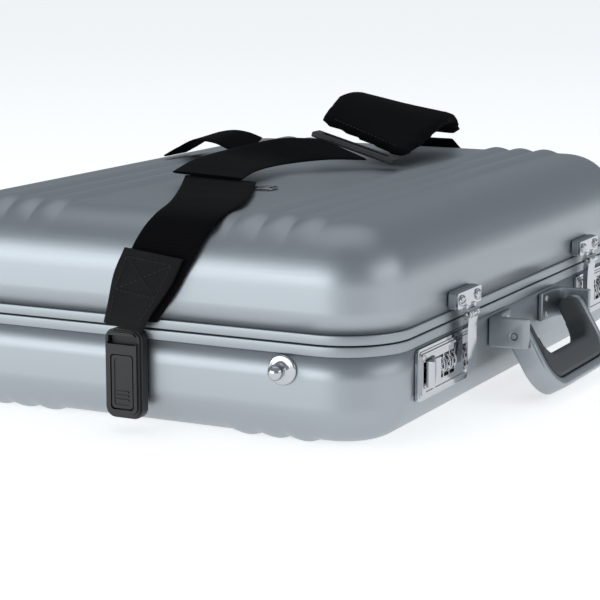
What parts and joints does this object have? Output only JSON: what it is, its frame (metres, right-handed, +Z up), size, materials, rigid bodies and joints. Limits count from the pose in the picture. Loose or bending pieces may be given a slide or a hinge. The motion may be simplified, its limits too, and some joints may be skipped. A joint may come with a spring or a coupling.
{
  "type": "attache case",
  "caption": "Rigid aluminium attache case with pressed ribbed shells, combination latches, a hinged carrying handle and a shoulder strap laid over its lid.",
  "frame": {"origin": "centre of the base's flat bottom panel", "axes": "+X along the case's length to the right of its front, +Y from the latched front to the hinged back, +Z up out of the lid"},
  "size_m": [0.4848, 0.3844, 0.1789],
  "materials": {
    "shell": "satin brushed and anodised",
    "frame": "satin",
    "rubber": "matt",
    "lining": "short pile",
    "chrome": "polished",
    "steel": "brushed",
    "grip": "soft matt",
    "plastic": "matt",
    "leather": "fine grain, stitched",
    "webbing": "ribbed weave",
    "pad": "fine weave over foam"
  },
  "bodies": {
    "base": {"base_shell": "shell", "base_frame": "frame", "gasket": "rubber", "base_lining": "lining", "stay_bracket": "steel", "hinge_base_leaf_left": "steel", "hinge_base_leaf_right": "steel", "hinge_pin_left": "steel", "hinge_pin_right": "steel", "lock_plate_left": "chrome", "lock_plate_right": "chrome", "lock_case_left": "steel", "lock_case_right": "steel", "dial_spindle_left": "steel", "dial_spindle_right": "steel", "handle_bracket_left": "frame", "handle_bracket_right": "frame", "handle_pin_left": "steel", "handle_pin_right": "steel", "strap_stud_left": "chrome", "strap_stud_right": "chrome"},
    "lid": {"lid_shell": "shell", "lid_frame": "frame", "lid_lining": "lining", "stay_track": "steel", "hinge_lid_leaf_left": "steel", "hinge_lid_leaf_right": "steel", "catch_riser_left": "frame", "catch_riser_right": "frame", "catch_plate_left": "chrome", "catch_plate_right": "chrome", "hasp_pin_left": "steel", "hasp_pin_right": "steel"},
    "handle": {"grip_shell": "shell", "grip_lining": "grip"},
    "stay": {"stay_arm": "steel"},
    "strap": {"strap_clip_left": "plastic", "strap_clip_right": "plastic", "leather_tab_left": "leather", "leather_tab_right": "leather", "strap_webbing_left": "webbing", "strap_slider": "chrome", "strap_webbing_upper": "webbing", "strap_slack_loop": "webbing", "pad_buckle": "plastic", "shoulder_pad": "pad", "strap_webbing_right": "webbing"},
    "hasp_left": {"hasp_left": "chrome"},
    "thumb_left": {"thumb_slide_left": "chrome"},
    "clip_tab_left": {"clip_release_tab_left": "plastic"},
    "dial_left_1": {"number_dial_left_1": "chrome"},
    "dial_left_2": {"number_dial_left_2": "chrome"},
    "dial_left_3": {"number_dial_left_3": "chrome"},
    "hasp_right": {"hasp_right": "chrome"},
    "thumb_right": {"thumb_slide_right": "chrome"},
    "clip_tab_right": {"clip_release_tab_right": "plastic"},
    "dial_right_1": {"number_dial_right_1": "chrome"},
    "dial_right_2": {"number_dial_right_2": "chrome"},
    "dial_right_3": {"number_dial_right_3": "chrome"}
  },
  "joints": [
    {"name": "lid_hinge", "type": "hinge", "parent": "base", "child": "lid", "pos_m": [0, 0.1698, 0.0615], "axis": [-1, 0, 0], "range_deg": [0, 93]},
    {"name": "stay_pivot", "type": "hinge", "parent": "base", "child": "stay", "pos_m": [-0.2189, 0.118, 0.05], "axis": [-1, 0, 0], "range_deg": [0, 119.5]},
    {"name": "handle_swing", "type": "hinge", "parent": "base", "child": "handle", "pos_m": [0, -0.1825, 0.0415], "axis": [-1, 0, 0], "range_deg": [0, 100]},
    {"name": "strap_lift_off", "type": "slide", "parent": "lid", "child": "strap", "axis": [0, 0, 1], "range_m": [0, 0.12]},
    {"name": "hasp_hinge_left", "type": "hinge", "parent": "lid", "child": "hasp_left", "pos_m": [-0.113, -0.1735, 0.065], "axis": [-1, 0, 0], "range_deg": [0, 110]},
    {"name": "thumb_travel_left", "type": "slide", "parent": "base", "child": "thumb_left", "axis": [-1, 0, 0], "range_m": [0, 0.004], "stiffness_N_per_m": 300},
    {"name": "clip_tab_press_left", "type": "hinge", "parent": "strap", "child": "clip_tab_left", "pos_m": [-0.236, 0, 0.044], "axis": [0, 1, 0], "range_deg": [0, 5], "stiffness_Nm_per_rad": 0.5},
    {"name": "dial_spin_left_1", "type": "hinge", "parent": "base", "child": "dial_left_1", "pos_m": [-0.1475, -0.1632, 0.0375], "axis": [1, 0, 0], "continuous": true},
    {"name": "dial_spin_left_2", "type": "hinge", "parent": "base", "child": "dial_left_2", "pos_m": [-0.1385, -0.1632, 0.0375], "axis": [1, 0, 0], "continuous": true},
    {"name": "dial_spin_left_3", "type": "hinge", "parent": "base", "child": "dial_left_3", "pos_m": [-0.1295, -0.1632, 0.0375], "axis": [1, 0, 0], "continuous": true},
    {"name": "hasp_hinge_right", "type": "hinge", "parent": "lid", "child": "hasp_right", "pos_m": [0.113, -0.1735, 0.065], "axis": [-1, 0, 0], "range_deg": [0, 110]},
    {"name": "thumb_travel_right", "type": "slide", "parent": "base", "child": "thumb_right", "axis": [1, 0, 0], "range_m": [0, 0.004], "stiffness_N_per_m": 300},
    {"name": "clip_tab_press_right", "type": "hinge", "parent": "strap", "child": "clip_tab_right", "pos_m": [0.236, 0, 0.044], "axis": [0, -1, 0], "range_deg": [0, 5], "stiffness_Nm_per_rad": 0.5},
    {"name": "dial_spin_right_1", "type": "hinge", "parent": "base", "child": "dial_right_1", "pos_m": [0.1475, -0.1632, 0.0375], "axis": [1, 0, 0], "continuous": true},
    {"name": "dial_spin_right_2", "type": "hinge", "parent": "base", "child": "dial_right_2", "pos_m": [0.1385, -0.1632, 0.0375], "axis": [1, 0, 0], "continuous": true},
    {"name": "dial_spin_right_3", "type": "hinge", "parent": "base", "child": "dial_right_3", "pos_m": [0.1295, -0.1632, 0.0375], "axis": [1, 0, 0], "continuous": true}
  ],
  "couplings": [
    {"joint": "stay_pivot", "follows": "lid_hinge", "ratio": 1.278}
  ]
}
